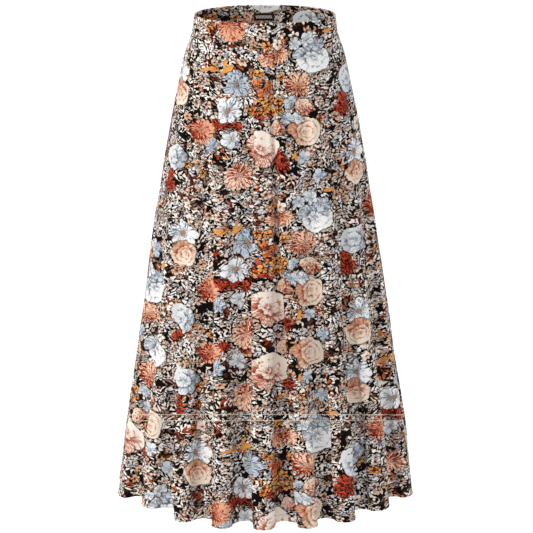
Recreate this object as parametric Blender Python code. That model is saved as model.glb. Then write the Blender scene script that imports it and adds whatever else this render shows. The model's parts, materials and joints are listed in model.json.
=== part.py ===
"""A floor-length flared skirt, standing filled out and open, as it hangs from a wearer's waist.

The skirt is built the way it is sewn. A narrow waistband in two halves holds the top. A front panel
and a back panel fall from it in soft folds that open into deep flutes. A hem tier, also in two halves,
is joined on below a seam that is cut straight across each panel. A woven label is sewn inside the
back waistband.

The frame is metres, +Z up, with the front of the skirt facing -Y. The origin is the centre of the
waist opening, level with its top edge. Run with: blender --background --python part.py
"""

import math
from collections import namedtuple

import bpy
import numpy as np

# Driving sizes, in metres. A drop is a height below the waist edge.
WAISTBAND_DEEP = 0.035
SEAM_DROP_CENTRE = 0.708  # the tier seam at centre front and centre back
SEAM_TIP = 0.275  # how fast a straight-cut seam falls on its way round to the side seams
HEM_DROP = 0.914  # the lowest flute's hem
TROUGH_LIFT = 0.004  # the hem between two flutes sits this much higher
SEAM_GAP = 0.0003

CLOTH = 0.0012
WAISTBAND_THICK = 0.0030  # two layers of cloth round an elastic
HEM_FOLD_DEEP = 0.015
HEM_FOLD_THICK = 0.0022  # the hem is turned up twice

LABEL_WIDE = 0.040
LABEL_DEEP = 0.014
LABEL_THICK = 0.0008
LABEL_TOP_DROP = 0.0156

# The skirt's plan is an ellipse at each drop, measured round the outside of the folds.
Section = namedtuple("Section", "drop half_width depth_share")
SECTIONS = (
    Section(0.000, 0.1300, 0.715),
    Section(0.035, 0.1345, 0.715),
    Section(0.070, 0.1460, 0.725),
    Section(0.130, 0.1590, 0.740),
    Section(0.210, 0.1745, 0.765),
    Section(0.330, 0.1962, 0.800),
    Section(0.480, 0.2178, 0.835),
    Section(0.640, 0.2415, 0.860),
    Section(0.780, 0.2642, 0.875),
    Section(0.914, 0.2820, 0.885),
)

# One row for each fold, in order round the skirt from centre front towards +X. Degrees are measured
# at the centre of the fold's crest, at the waist and at the hem. Depth is the flute's at the hem, and
# starts is the drop where the fold begins. Lean moves the crest sideways over its trough, and rise
# lifts its hem. The rows beside each side seam mirror each other, which puts that seam in a trough
# at 90 and at 270 degrees.
Fold = namedtuple("Fold", "at_waist at_hem depth starts lean rise")
FOLDS = (
    Fold(-2.0, -0.5, 0.042, 0.00, 0.000, 0.000),
    Fold(12.0, 17.0, 0.041, 0.00, 0.001, 0.000),
    Fold(38.0, 34.0, 0.038, 0.00, 0.002, 0.003),
    Fold(60.0, 52.0, 0.034, 0.06, 0.002, 0.011),
    Fold(80.0, 76.0, 0.029, 0.14, 0.000, 0.013),
    Fold(100.0, 104.0, 0.031, 0.16, 0.000, 0.014),
    Fold(120.0, 128.0, 0.036, 0.10, -0.002, 0.012),
    Fold(139.0, 145.5, 0.039, 0.03, -0.001, 0.006),
    Fold(159.0, 163.0, 0.041, 0.00, 0.001, 0.002),
    Fold(181.0, 180.5, 0.038, 0.00, 0.002, 0.000),
    Fold(202.0, 198.0, 0.043, 0.02, 0.000, 0.001),
    Fold(222.0, 215.5, 0.037, 0.00, 0.001, 0.005),
    Fold(244.0, 232.0, 0.035, 0.08, 0.002, 0.012),
    Fold(262.0, 256.0, 0.030, 0.15, 0.000, 0.014),
    Fold(278.0, 284.0, 0.029, 0.12, 0.000, 0.012),
    Fold(296.0, 308.0, 0.034, 0.05, -0.002, 0.015),
    Fold(312.0, 326.0, 0.038, 0.00, -0.002, 0.003),
    Fold(332.0, 343.0, 0.041, 0.00, -0.001, 0.000),
)
FOLD_COUNT = len(FOLDS)
RIGHT_SEAM_PHASE = 4.5
LEFT_SEAM_PHASE = 13.5
FLANK = 0.80  # 0 gives a plain wave, 1 gives a flute with upright flanks
FOLD_GROWTH = 1.15  # how the depth grows from where a fold starts down to the hem
ANGLE_GROWTH = 0.8  # how the folds move from their angles at the waist to those at the hem

# How finely each piece is faceted.
WAISTBAND_COLUMNS = 54
CLOTH_COLUMNS = 90
WAISTBAND_ROWS = 3
PANEL_ROWS = 10
PANEL_ROW_GROWTH = 1.3  # the rows are closer together over the hips, where the outline curves most
TIER_ROWS = 4
SEAM_PASSES = 5
NUDGE = 1e-4  # the step, in phase or in metres, that slopes are measured over
LABEL_COLUMNS = 8

SRGB_COLOURS = {
    "printed_cloth": (0.60, 0.54, 0.51),
    "woven_label": (0.05, 0.045, 0.045),
}
CLOTH_ROUGHNESS = 0.85
LABEL_ROUGHNESS = 0.7

sections = Section(*np.array(SECTIONS).T)
folds = Fold(*np.array(FOLDS).T)
EVEN_DEG = np.arange(FOLD_COUNT) * 360.0 / FOLD_COUNT


def smooth_between(positions, values, at):
    """A smooth curve through a table's points: one cubic between each two, with matching slopes."""
    slopes = np.gradient(values, positions)
    i = np.clip(np.searchsorted(positions, at, side="right") - 1, 0, len(positions) - 2)
    step = positions[i + 1] - positions[i]
    t = np.clip((at - positions[i]) / step, 0.0, 1.0)
    return (
        values[i] * (1 + 2 * t) * (1 - t) ** 2
        + values[i + 1] * t**2 * (3 - 2 * t)
        + step * t * (1 - t) * (slopes[i] * (1 - t) - slopes[i + 1] * t)
    )


def round_folds(values, phase):
    """A value of the folds, taken smoothly from crest to crest. A whole phase is a fold's crest."""
    i = np.floor(phase).astype(int)
    t = phase - i
    before, this, after, beyond = (values[(i + k) % FOLD_COUNT] for k in (-1, 0, 1, 2))
    slope = (after - before) / 2
    bend = before - 2.5 * this + 2 * after - beyond / 2
    twist = 1.5 * (this - after) + (beyond - before) / 2
    return this + t * (slope + t * (bend + t * twist))


def fold_angle(phase, drop):
    """The angle round the skirt, in radians from centre front, of a phase at a drop."""
    share = np.clip(drop / HEM_DROP, 0.0, 1.0) ** ANGLE_GROWTH
    at_waist = round_folds(folds.at_waist - EVEN_DEG, phase)
    at_hem = round_folds(folds.at_hem - EVEN_DEG, phase)
    even = phase * 360.0 / FOLD_COUNT
    return np.radians(even + at_waist * (1 - share) + at_hem * share)


def fold_depth(phase, drop):
    """How deep the folds are at a drop: nothing above where each one starts, and all of it at the hem."""
    top = round_folds(folds.starts, phase) + WAISTBAND_DEEP
    share = np.clip((drop - top) / (HEM_DROP - top), 0.0, 1.0)
    return round_folds(folds.depth, phase) * share**FOLD_GROWTH


def plan_size(drop):
    """The plan's half width, along X, and half depth, along Y, at a drop."""
    half_width = smooth_between(sections.drop, sections.half_width, drop)
    return half_width, half_width * smooth_between(sections.drop, sections.depth_share, drop)


def outside(phase, drop):
    """The outer face of the cloth: the plan's ellipse, drawn in between the crests of the folds. The
    phase is bunched towards crests and troughs, so the flanks between them stand upright."""
    grown = np.clip(drop / HEM_DROP, 0.0, 1.0)
    bunched = phase + FLANK * grown / (4 * np.pi) * np.sin(4 * np.pi * phase)
    angle = fold_angle(bunched, drop)
    crest = 0.5 + 0.5 * np.cos(2 * np.pi * phase)
    half_width, half_depth = plan_size(drop)
    across, along = np.sin(angle), -np.cos(angle)
    outward = np.stack([across / half_width, along / half_depth], axis=-1)
    outward /= np.linalg.norm(outward, axis=-1, keepdims=True)
    sideways = np.stack([-outward[..., 1], outward[..., 0]], axis=-1)
    inset = fold_depth(phase, drop) * (1 - crest)
    lean = round_folds(folds.lean, phase) * grown * crest
    plan = np.stack([half_width * across, half_depth * along], axis=-1)
    plan = plan - inset[..., None] * outward + lean[..., None] * sideways
    return np.concatenate([plan, -drop[..., None]], axis=-1)


def into_cloth(phase, drop):
    """The unit normal of the outer face, pointing into the cloth."""
    along = outside(phase + NUDGE, drop) - outside(phase - NUDGE, drop)
    down = outside(phase, drop + NUDGE) - outside(phase, drop - NUDGE)
    inward = np.cross(along, down)
    return inward / np.linalg.norm(inward, axis=-1, keepdims=True)


def seam_drop(phase):
    """The tier seam's drop. The seam is cut straight across each panel, so it hangs in a plane that tips
    down from centre front or back to the side seams. The reach depends on the drop and the drop on the
    reach, so a few passes settle both."""
    centre_reach = plan_size(np.array([SEAM_DROP_CENTRE]))[1][0]
    drop = np.full_like(phase, SEAM_DROP_CENTRE)
    for _ in range(SEAM_PASSES):
        reach = np.abs(outside(phase, drop)[..., 1])
        drop = SEAM_DROP_CENTRE + SEAM_TIP * (centre_reach - reach)
    return drop


def hem_drop(phase):
    """The hem's drop: level, apart from each flute's own rise and the small lift between flutes."""
    trough = 0.5 - 0.5 * np.cos(2 * np.pi * phase)
    return HEM_DROP - round_folds(folds.rise, phase) - TROUGH_LIFT * trough


def phases_between(first, last, columns, drop_of):
    """A row's phases, evenly spaced, stopping half a seam's gap short of both side seams."""
    ends = []
    for seam, into in ((first, NUDGE), (last, -NUDGE)):
        pair = np.array([seam, seam + into])
        here, further = outside(pair, drop_of(pair))
        ends.append(seam + into * SEAM_GAP / 2 / np.linalg.norm(further - here))
    return np.linspace(*ends, columns + 1)


def cloth_piece(name, first, last, columns, drops, thicknesses):
    """A wall of cloth between two side seams. drops has a function of the phase for each row."""
    phase = np.array([phases_between(first, last, columns, drop_of) for drop_of in drops])
    drop = np.array([drop_of(row) for drop_of, row in zip(drops, phase)])
    outer = outside(phase, drop)
    inner = outer + into_cloth(phase, drop) * np.array(thicknesses)[:, None, None]
    return closed_wall(name, outer, inner)


def closed_wall(name, outer, inner):
    """One closed mesh of two grids of points, outer and inner, joined round their four edges."""
    rows, columns = outer.shape[:2]
    number = np.arange(rows * columns).reshape(rows, columns)
    far = number + rows * columns

    def quads(a, b, c, d):
        return np.stack([a, b, c, d], axis=-1).reshape(-1, 4)

    faces = np.concatenate([
        quads(number[:-1, :-1], number[1:, :-1], number[1:, 1:], number[:-1, 1:]),
        quads(far[:-1, :-1], far[:-1, 1:], far[1:, 1:], far[1:, :-1]),
        quads(number[0, :-1], number[0, 1:], far[0, 1:], far[0, :-1]),
        quads(number[-1, 1:], number[-1, :-1], far[-1, :-1], far[-1, 1:]),
        quads(number[1:, 0], number[:-1, 0], far[:-1, 0], far[1:, 0]),
        quads(number[:-1, -1], number[1:, -1], far[1:, -1], far[:-1, -1]),
    ])
    points = np.concatenate([outer.reshape(-1, 3), inner.reshape(-1, 3)])
    mesh = bpy.data.meshes.new(name)
    mesh.from_pydata(points.tolist(), [], faces.tolist())
    mesh.shade_smooth()
    mesh.set_sharp_from_angle(angle=math.radians(50))
    piece = bpy.data.objects.new(name, mesh)
    bpy.context.scene.collection.objects.link(piece)
    return piece


def level(drop):
    """A row at the same drop all the way along."""
    return lambda phase: np.full_like(phase, drop)


def between(top, bottom, share):
    """A row part of the way from one edge down to another."""
    return lambda phase: top(phase) * (1 - share) + bottom(phase) * share


def shifted(edge, by):
    """An edge moved down by a little."""
    return lambda phase: edge(phase) + by


def waistband(name, first, last):
    drops = [level(WAISTBAND_DEEP * k / WAISTBAND_ROWS) for k in range(WAISTBAND_ROWS)]
    drops.append(level(WAISTBAND_DEEP - SEAM_GAP / 2))
    thick = [WAISTBAND_THICK] * len(drops)
    return cloth_piece(name, first, last, WAISTBAND_COLUMNS, drops, thick)


def panel(name, first, last):
    top = level(WAISTBAND_DEEP + SEAM_GAP / 2)
    bottom = shifted(seam_drop, -SEAM_GAP / 2)
    shares = [(k / PANEL_ROWS) ** PANEL_ROW_GROWTH for k in range(PANEL_ROWS + 1)]
    drops = [between(top, bottom, share) for share in shares]
    return cloth_piece(name, first, last, CLOTH_COLUMNS, drops, [CLOTH] * len(drops))


def tier(name, first, last):
    top = shifted(seam_drop, SEAM_GAP / 2)
    fold_top = shifted(hem_drop, -HEM_FOLD_DEEP)
    drops = [between(top, fold_top, k / TIER_ROWS) for k in range(TIER_ROWS)]
    thick = [CLOTH] * len(drops)
    drops += [fold_top, shifted(hem_drop, -HEM_FOLD_DEEP * 0.9), hem_drop]
    thick += [CLOTH, HEM_FOLD_THICK, HEM_FOLD_THICK]
    return cloth_piece(name, first, last, CLOTH_COLUMNS, drops, thick)


def woven_label(name, centre_phase):
    """A flat label that follows the inside of the back waistband, one seam's gap clear of it."""
    rows = LABEL_TOP_DROP + np.array([0.0, 0.5, 1.0]) * LABEL_DEEP
    here, further = outside(centre_phase + np.array([0.0, NUDGE]), np.full(2, rows[1]))
    half = LABEL_WIDE / 2 * NUDGE / np.linalg.norm(further - here)
    phase, drop = np.meshgrid(centre_phase + np.linspace(-half, half, LABEL_COLUMNS + 1), rows)
    inward = into_cloth(phase, drop)
    back = outside(phase, drop) + inward * (WAISTBAND_THICK + SEAM_GAP)
    return closed_wall(name, back, back + inward * LABEL_THICK)


def plain_material(name, roughness):
    """A Principled BSDF of one flat colour, given as sRGB."""
    material = bpy.data.materials.new(name)
    material.use_nodes = True
    shader = material.node_tree.nodes["Principled BSDF"]
    linear = [c / 12.92 if c <= 0.04045 else ((c + 0.055) / 1.055) ** 2.4 for c in SRGB_COLOURS[name]]
    shader.inputs["Base Color"].default_value = (*linear, 1.0)
    shader.inputs["Roughness"].default_value = roughness
    shader.inputs["Metallic"].default_value = 0.0
    material.diffuse_color = (*linear, 1.0)
    return material


def build():
    for old in list(bpy.data.objects):
        bpy.data.objects.remove(old)
    cloth = plain_material("printed_cloth", CLOTH_ROUGHNESS)
    label_weave = plain_material("woven_label", LABEL_ROUGHNESS)
    front = (LEFT_SEAM_PHASE - FOLD_COUNT, RIGHT_SEAM_PHASE)
    back = (RIGHT_SEAM_PHASE, LEFT_SEAM_PHASE)
    back_centre = (RIGHT_SEAM_PHASE + LEFT_SEAM_PHASE) / 2
    pieces = [
        waistband("waistband_front", *front),
        waistband("waistband_back", *back),
        panel("panel_front", *front),
        panel("panel_back", *back),
        tier("tier_front", *front),
        tier("tier_back", *back),
    ]
    for piece in pieces:
        piece.data.materials.append(cloth)
    label = woven_label("woven_label", back_centre)
    label.data.materials.append(label_weave)


build()
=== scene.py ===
"""A long skirt with a hem tier, in crepe printed all over with flowers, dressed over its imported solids.

It hangs filled out and open, as from a wearer's waist. Lengths are metres, +Z is up, the front faces
-Y, and the origin is the centre of the waist opening, level with its top edge. The print is measured
in millimetres across and down the cloth.
"""

import json
import math
from collections import namedtuple
from functools import partial

import bpy
import numpy as np
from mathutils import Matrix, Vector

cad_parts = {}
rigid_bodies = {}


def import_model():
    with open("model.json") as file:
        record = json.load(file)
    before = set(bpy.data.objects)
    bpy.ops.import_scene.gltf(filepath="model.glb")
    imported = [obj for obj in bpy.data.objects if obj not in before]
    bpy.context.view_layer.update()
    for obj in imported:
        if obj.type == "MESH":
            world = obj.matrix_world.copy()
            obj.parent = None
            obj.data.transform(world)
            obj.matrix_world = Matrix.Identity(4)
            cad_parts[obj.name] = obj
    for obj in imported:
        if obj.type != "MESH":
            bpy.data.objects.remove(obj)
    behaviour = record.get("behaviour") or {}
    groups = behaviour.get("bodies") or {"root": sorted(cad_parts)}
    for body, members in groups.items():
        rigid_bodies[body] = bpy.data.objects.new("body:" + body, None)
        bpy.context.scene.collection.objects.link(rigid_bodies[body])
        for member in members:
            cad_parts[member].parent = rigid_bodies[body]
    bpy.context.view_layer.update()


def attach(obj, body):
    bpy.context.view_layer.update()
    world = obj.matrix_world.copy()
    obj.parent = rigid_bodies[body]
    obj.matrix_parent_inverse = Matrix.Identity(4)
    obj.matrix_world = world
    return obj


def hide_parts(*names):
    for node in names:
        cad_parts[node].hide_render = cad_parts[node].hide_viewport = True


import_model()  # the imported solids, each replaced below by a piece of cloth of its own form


# ---- The studio ------------------------------------------------------------------------------------
# A plain white floor, where a wearer would stand, under broad soft lights. The strongest is high on
# the left of the front. The camera stands far off and a little above, so the skirt shows almost flat.

FLOOR_LEVEL = -1.15
FLOOR_HALF = 40.0
VIEW_CENTRE = (0.0028, -0.0027, -0.4764)
VIEW_DISTANCE = 10.0
VIEW_ABOVE = math.radians(13.5)
LENS_MM = 363.8
SENSOR_MM = 36.0
SIGNS = {
    "+": "ADD", "-": "SUBTRACT", "*": "MULTIPLY", "/": "DIVIDE", "*+": "MULTIPLY_ADD",
    "<": "LESS_THAN", ">": "GREATER_THAN",
}


def linear(hex_colour):
    """An sRGB hex colour as linear RGBA: each channel goes back through the sRGB curve."""
    channels = np.array([int(hex_colour[i : i + 2], 16) for i in (1, 3, 5)]) / 255
    channels = np.where(channels <= 0.04045, channels / 12.92, ((channels + 0.055) / 1.055) ** 2.4)
    return (*channels.tolist(), 1.0)


def fill(node, sources):
    """Fills a node's inputs, by number or name: a socket is linked and a value is set."""
    for key, source in sources.items():
        if isinstance(source, bpy.types.NodeSocket):
            node.id_data.links.new(source, node.inputs[key])
        else:
            node.inputs[key].default_value = source


def add(tree, kind, *sources, out=0, **settings):
    """Adds one node and gives one of its outputs. The kind is a sign or word of arithmetic, "blend"
    for a share between two colours, or the node's type and, after a space, its operation. Sources
    fill its inputs in order, or by the names in a dictionary."""
    inputs = sources[0] if sources and isinstance(sources[0], dict) else dict(enumerate(sources))
    name, _, operation = kind.partition(" ")
    if kind == "blend":
        name, out, settings, inputs = "Mix", 2, {"data_type": "RGBA"}, dict(zip((0, 6, 7), sources))
    elif kind in SIGNS or kind.islower():
        name, operation = "Math", SIGNS.get(kind, kind.upper())
    new = tree.nodes.new("ShaderNode" + name)
    if operation:
        new.operation = operation
    for setting, value in settings.items():
        setattr(new, setting, value)
    fill(new, inputs)
    return new.outputs[out]


def blank_material(name):
    """A new material, its Principled shader, and the function that adds a node to its tree."""
    material = bpy.data.materials.new(name)
    material.use_nodes = True
    return material, material.node_tree.nodes["Principled BSDF"], partial(add, material.node_tree)


def new_object(name, data):
    """A new object in the scene, at the origin."""
    thing = bpy.data.objects.new(name, data)
    bpy.context.scene.collection.objects.link(thing)
    return thing


def floor_paint():
    """Matt white paint, with the faintest unevenness of tone."""
    material, shader, put = blank_material("matt_white_floor")
    tone = put("TexNoise", {"Vector": put("TexCoord", out="Object"), "Scale": 0.7, "Detail": 2.0})
    tone = put("MapRange", tone, 0.0, 1.0, 0.0, 0.05)
    white = put("blend", tone, linear("#fbfbfb"), linear("#f5f5f5"))
    fill(shader, {"Base Color": white, "Roughness": 0.9, "Specular IOR Level": 0.1})
    return material


def area_light(name, place, aim, size, watts, colour):
    """A square area light at a place, shining at an aim."""
    data = bpy.data.lights.new(name, "AREA")
    data.size, data.energy, data.color = size, watts, linear(colour)[:3]
    light = new_object(name, data)
    light.location = place
    direction = Vector(aim) - Vector(place)
    light.rotation_euler = direction.to_track_quat("-Z", "Y").to_euler()


corners = [(x * FLOOR_HALF, y * FLOOR_HALF, FLOOR_LEVEL) for x, y in ((-1, -1), (1, -1), (1, 1), (-1, 1))]
floor_mesh = bpy.data.meshes.new("floor")
floor_mesh.from_pydata(corners, [], [(0, 1, 2, 3)])
floor_mesh.materials.append(floor_paint())
floor = new_object("floor", floor_mesh)

area_light("key_upper_left", (-3.1, -2.7, 1.7), (0.0, 0.0, -0.5), 2.0, 96.0, "#fffaf2")
area_light("fill_right", (3.2, -2.6, 0.6), (0.0, 0.0, -0.5), 2.6, 3.0, "#f4f8ff")
area_light("floor_light", (0.0, 3.4, 4.4), (0.0, 3.4, 0.0), 9.0, 400.0, "#ffffff")

scene = bpy.context.scene
scene.view_settings.view_transform = "Standard"
scene.world = bpy.data.worlds.new("studio_air")
scene.world.use_nodes = True
fill(scene.world.node_tree.nodes["Background"], {"Color": linear("#fefeff"), "Strength": 0.55})

lens = bpy.data.cameras.new("camera")
lens.lens, lens.sensor_width, lens.clip_end = LENS_MM, SENSOR_MM, 100.0
scene.camera = new_object("camera", lens)
away = np.array([0.0, -math.cos(VIEW_ABOVE), math.sin(VIEW_ABOVE)])
scene.camera.location = VIEW_CENTRE + VIEW_DISTANCE * away
scene.camera.rotation_euler = (math.pi / 2 - VIEW_ABOVE, 0.0, 0.0)


# ---- The front and back panels ---------------------------------------------------------------------
# Two wide panels of crepe, with no darts or pleats, hang from the waistband to the tier seam in soft
# flutes that deepen on the way down. A phase counts the flutes round the skirt, from centre front
# towards +X, and a whole phase is a crest.

WAISTBAND_DEEP = 0.035
SEAM_DROP_CENTRE = 0.708
SEAM_TIP = 0.275  # how fast a line cut straight across the cloth falls on its way round to the sides
HEM_DROP = 0.914
TROUGH_LIFT = 0.004

Section = namedtuple("Section", "drop half_width depth_share")
sections = Section(*np.array([
    (0.0, 0.13, 0.715), (0.035, 0.1345, 0.715), (0.07, 0.146, 0.725), (0.13, 0.159, 0.74),
    (0.21, 0.1745, 0.765), (0.33, 0.1962, 0.8), (0.48, 0.2178, 0.835), (0.64, 0.2415, 0.86),
    (0.78, 0.2642, 0.875), (0.914, 0.282, 0.885),
]).T)

# A crest's degrees at the waist and at the hem. Starts is the drop where the flute begins, lean moves
# its crest over its trough, and rise lifts its hem.
Flute = namedtuple("Flute", "at_waist at_hem depth starts lean rise")
flutes = Flute(*np.array([
    (-2.0, -0.5, 0.042, 0.0, 0.0, 0.0),
    (12.0, 17.0, 0.041, 0.0, 0.001, 0.0),
    (38.0, 34.0, 0.038, 0.0, 0.002, 0.003),
    (60.0, 52.0, 0.034, 0.06, 0.002, 0.011),
    (80.0, 76.0, 0.029, 0.14, 0.0, 0.013),
    (100.0, 104.0, 0.031, 0.16, 0.0, 0.014),
    (120.0, 128.0, 0.036, 0.1, -0.002, 0.012),
    (139.0, 145.5, 0.039, 0.03, -0.001, 0.006),
    (159.0, 163.0, 0.041, 0.0, 0.001, 0.002),
    (181.0, 180.5, 0.038, 0.0, 0.002, 0.0),
    (202.0, 198.0, 0.043, 0.02, 0.0, 0.001),
    (222.0, 215.5, 0.037, 0.0, 0.001, 0.005),
    (244.0, 232.0, 0.035, 0.08, 0.002, 0.012),
    (262.0, 256.0, 0.03, 0.15, 0.0, 0.014),
    (278.0, 284.0, 0.029, 0.12, 0.0, 0.012),
    (296.0, 308.0, 0.034, 0.05, -0.002, 0.015),
    (312.0, 326.0, 0.038, 0.0, -0.002, 0.003),
    (332.0, 343.0, 0.041, 0.0, -0.001, 0.0),
]).T)
FLUTE_COUNT = len(flutes.depth)
FLUTE_TURN = math.radians(360.0 / FLUTE_COUNT)
RIGHT_SEAM_PHASE = 4.5
LEFT_SEAM_PHASE = 13.5
FRONT = (LEFT_SEAM_PHASE - FLUTE_COUNT, RIGHT_SEAM_PHASE)
BACK = (RIGHT_SEAM_PHASE, LEFT_SEAM_PHASE)
FLANK = 0.80  # how far the flutes' flanks are steepened at the hem
DEPTH_GROWTH = 1.15  # the powers of the way down at which the flutes deepen and shift
ANGLE_GROWTH = 0.8

CLOTH_THICK = 0.0009
SHARP_EDGE = math.radians(60)  # edges that turn more than this are shaded sharp
COLUMNS = 288
PANEL_ROWS = 116
SEAM_STEP = 0.0014  # the rows are this close together beside a seam
SEAM_STEPS = 12
EDGE_PHASE = -0.2  # where, on each flute, the cloth turns fastest
CROWDING = 0.55  # how far the columns crowd together there
SEAM_DIP = 0.0011
SEAM_DIP_WIDE = 0.0028
STITCH_OFF = 0.0056  # from the tier seam to each of its two rows of stitches
STITCH_DIP = 0.0007
STITCH_DIP_WIDE = 0.0016

# A crease runs down from one place to another. Its left edge is sharp and its right side soft, and
# tuck is how much cloth its edge hides.
Crease = namedtuple("Crease", "top_phase top_drop foot_phase foot_drop height edge spread tuck")
CREASES = [Crease(*row) for row in (
    (-0.2, 0.08, -0.18, 0.93, 0.006, 0.0032, 0.022, 0.006),
    (0.5, 0.045, 0.84, 0.94, 0.005, 0.0034, 0.018, 0.003),
    (1.74, 0.085, 1.78, 0.93, 0.0052, 0.0034, 0.02, 0.003),
    (-1.22, 0.075, -0.99, 0.94, 0.005, 0.0036, 0.02, 0.002),
    (-3.4, 0.3, -1.96, 0.93, 0.0042, 0.004, 0.024, 0.002),
    (-2.35, 0.11, -2.62, 0.42, 0.0026, 0.005, 0.016, 0.0),
    (2.72, 0.15, 2.78, 0.94, 0.0044, 0.004, 0.022, 0.002),
    (3.78, 0.26, 3.8, 0.93, 0.004, 0.004, 0.02, 0.0),
    (0.18, 0.13, 0.26, 0.52, 0.0022, 0.005, 0.014, 0.0),
    (1.22, 0.12, 1.28, 0.6, 0.0024, 0.005, 0.014, 0.0),
    (-0.7, 0.24, -0.62, 0.7, 0.0024, 0.005, 0.014, 0.0),
    (2.2, 0.33, 2.24, 0.76, 0.0022, 0.005, 0.014, 0.0),
    (-1.6, 0.38, -1.52, 0.86, 0.0024, 0.005, 0.015, 0.0),
    (5.1, 0.2, 4.82, 0.93, 0.0044, 0.004, 0.022, 0.004),
    (5.9, 0.12, 5.8, 0.93, 0.005, 0.0036, 0.02, 0.005),
    (6.86, 0.09, 6.8, 0.93, 0.0052, 0.0034, 0.02, 0.005),
    (7.86, 0.1, 7.8, 0.93, 0.0046, 0.0036, 0.02, 0.005),
    (8.84, 0.08, 8.8, 0.93, 0.0056, 0.0032, 0.022, 0.006),
    (9.8, 0.11, 9.82, 0.93, 0.005, 0.0036, 0.02, 0.005),
    (10.74, 0.09, 10.8, 0.93, 0.0048, 0.0036, 0.02, 0.005),
    (11.7, 0.15, 11.8, 0.93, 0.0046, 0.0038, 0.022, 0.004),
    (12.72, 0.23, 12.8, 0.93, 0.0042, 0.004, 0.022, 0.0),
    (7.3, 0.26, 7.24, 0.64, 0.0024, 0.005, 0.015, 0.0),
    (9.32, 0.18, 9.26, 0.56, 0.0022, 0.005, 0.014, 0.0),
    (10.3, 0.34, 10.28, 0.8, 0.0024, 0.005, 0.015, 0.0),
)]
CREASE_FADE = 0.10  # a crease grows in and dies away over this length
PRINT_EASE = 0.90  # how much of the way round the print covers, beside what the creases hide
PRINT_FLANK = 0.35  # how much steps forwards or back count at the middle of a panel
PRINT_NARROWED = 0.2  # how much less steps sideways count at its sides
PRINT_DEPTH = 0.2  # the share of the flutes' depth that the print's rows follow
TUCK_FROM = 1.5  # a crease hides cloth from here left of it, in widths of its edge
PRINT_TIP = 0.08  # how fast the print's rows fall on their way round to the sides
BACK_CUT = np.array([148.0, 92.0])  # how far from the front's cloth the back's was cut, in millimetres
GROOVE_SHARE = 0.45  # the groove left of a crease, as a share of its height
GROOVE_OFF = 2.4  # how far left of the crease it lies, and how wide it is, in widths of its edge
GROOVE_WIDE = 1.5

# Shallow rolls in the cloth, so that no stretch of it is quite even: how far they stand, the flutes
# between two of them, the length over which they sway, and where they start.
Roll = namedtuple("Roll", "height flutes length start")
ROLLS = [Roll(*row) for row in (
    (0.0011, 1.31, 0.47, 0.3), (0.0008, 0.83, 0.31, 1.9), (0.0006, 0.47, 0.23, 4.1),
    (0.0004, 0.29, 0.17, 2.6), (0.0003, 0.17, 0.12, 5.2),
)]
ROLLS_GROWN = 0.2  # the drop by which they stand at their full height
ROLL_SWAY = 1.2  # in radians
EVEN_DEG = np.arange(FLUTE_COUNT) * 360.0 / FLUTE_COUNT


def unit(vectors):
    """Vectors at a length of one."""
    return vectors / np.linalg.norm(vectors, axis=-1, keepdims=True)


def bell(apart, wide):
    """A bell curve: the exponential of less the square of how many widths apart."""
    return np.exp(-((apart / wide) ** 2))


def smooth_between(positions, values, at):
    """A smooth curve through a table's points: one cubic between each two, with matching slopes."""
    slopes = np.gradient(values, positions)
    i = np.clip(np.searchsorted(positions, at, side="right") - 1, 0, len(positions) - 2)
    step = positions[i + 1] - positions[i]
    t = np.clip((at - positions[i]) / step, 0.0, 1.0)
    return (
        values[i] * (1 + 2 * t) * (1 - t) ** 2
        + values[i + 1] * t**2 * (3 - 2 * t)
        + step * t * (1 - t) * (slopes[i] * (1 - t) - slopes[i + 1] * t)
    )


def round_flutes(values, phase):
    """A value of the flutes, taken smoothly from crest to crest by one cubic between each two."""
    i = np.floor(phase).astype(int)
    t = phase - i
    before, this, after, beyond = (values[(i + k) % FLUTE_COUNT] for k in (-1, 0, 1, 2))
    slope = (after - before) / 2
    bend = before - 2.5 * this + 2 * after - beyond / 2
    twist = 1.5 * (this - after) + (beyond - before) / 2
    return this + t * (slope + t * (bend + t * twist))


def flute_angle(phase, drop):
    """The angle round the skirt: the phase's even share of a turn, plus the flutes' own shifts."""
    share = np.clip(drop / HEM_DROP, 0.0, 1.0) ** ANGLE_GROWTH
    at_waist = round_flutes(flutes.at_waist - EVEN_DEG, phase)
    at_hem = round_flutes(flutes.at_hem - EVEN_DEG, phase)
    return np.radians(phase * 360.0 / FLUTE_COUNT + at_waist * (1 - share) + at_hem * share)


def flute_depth(phase, drop):
    """The flutes' depth: nothing above where each starts, then a power of the way down to the hem."""
    top = round_flutes(flutes.starts, phase) + WAISTBAND_DEEP
    share = np.clip((drop - top) / (HEM_DROP - top), 0.0, 1.0)
    return round_flutes(flutes.depth, phase) * share**DEPTH_GROWTH


def plan_size(drop):
    """The plan's half width along X and half depth along Y, from the table of sections."""
    half_width = smooth_between(sections.drop, sections.half_width, drop)
    return half_width, half_width * smooth_between(sections.drop, sections.depth_share, drop)


def outside(phase, drop, depth_share=1.0):
    """The cloth's outer face: an ellipse, drawn in between crests by the flutes' depth times half of
    one minus the cosine of the phase. The phase is bunched so that the flanks stand upright."""
    grown = np.clip(drop / HEM_DROP, 0.0, 1.0)
    bunched = phase + FLANK * grown / (4 * np.pi) * np.sin(4 * np.pi * phase)
    angle = flute_angle(bunched, drop)
    crest = 0.5 + 0.5 * np.cos(2 * np.pi * phase)
    half_width, half_depth = plan_size(drop)
    across, along = np.sin(angle), -np.cos(angle)
    outward = unit(np.stack([across / half_width, along / half_depth], axis=-1))
    sideways = np.stack([-outward[..., 1], outward[..., 0]], axis=-1)
    inset = depth_share * flute_depth(phase, drop) * (1 - crest)
    lean = round_flutes(flutes.lean, phase) * grown * crest
    plan = np.stack([half_width * across, half_depth * along], axis=-1)
    plan = plan - inset[..., None] * outward + lean[..., None] * sideways
    return np.concatenate([plan, -drop[..., None]], axis=-1)


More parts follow.
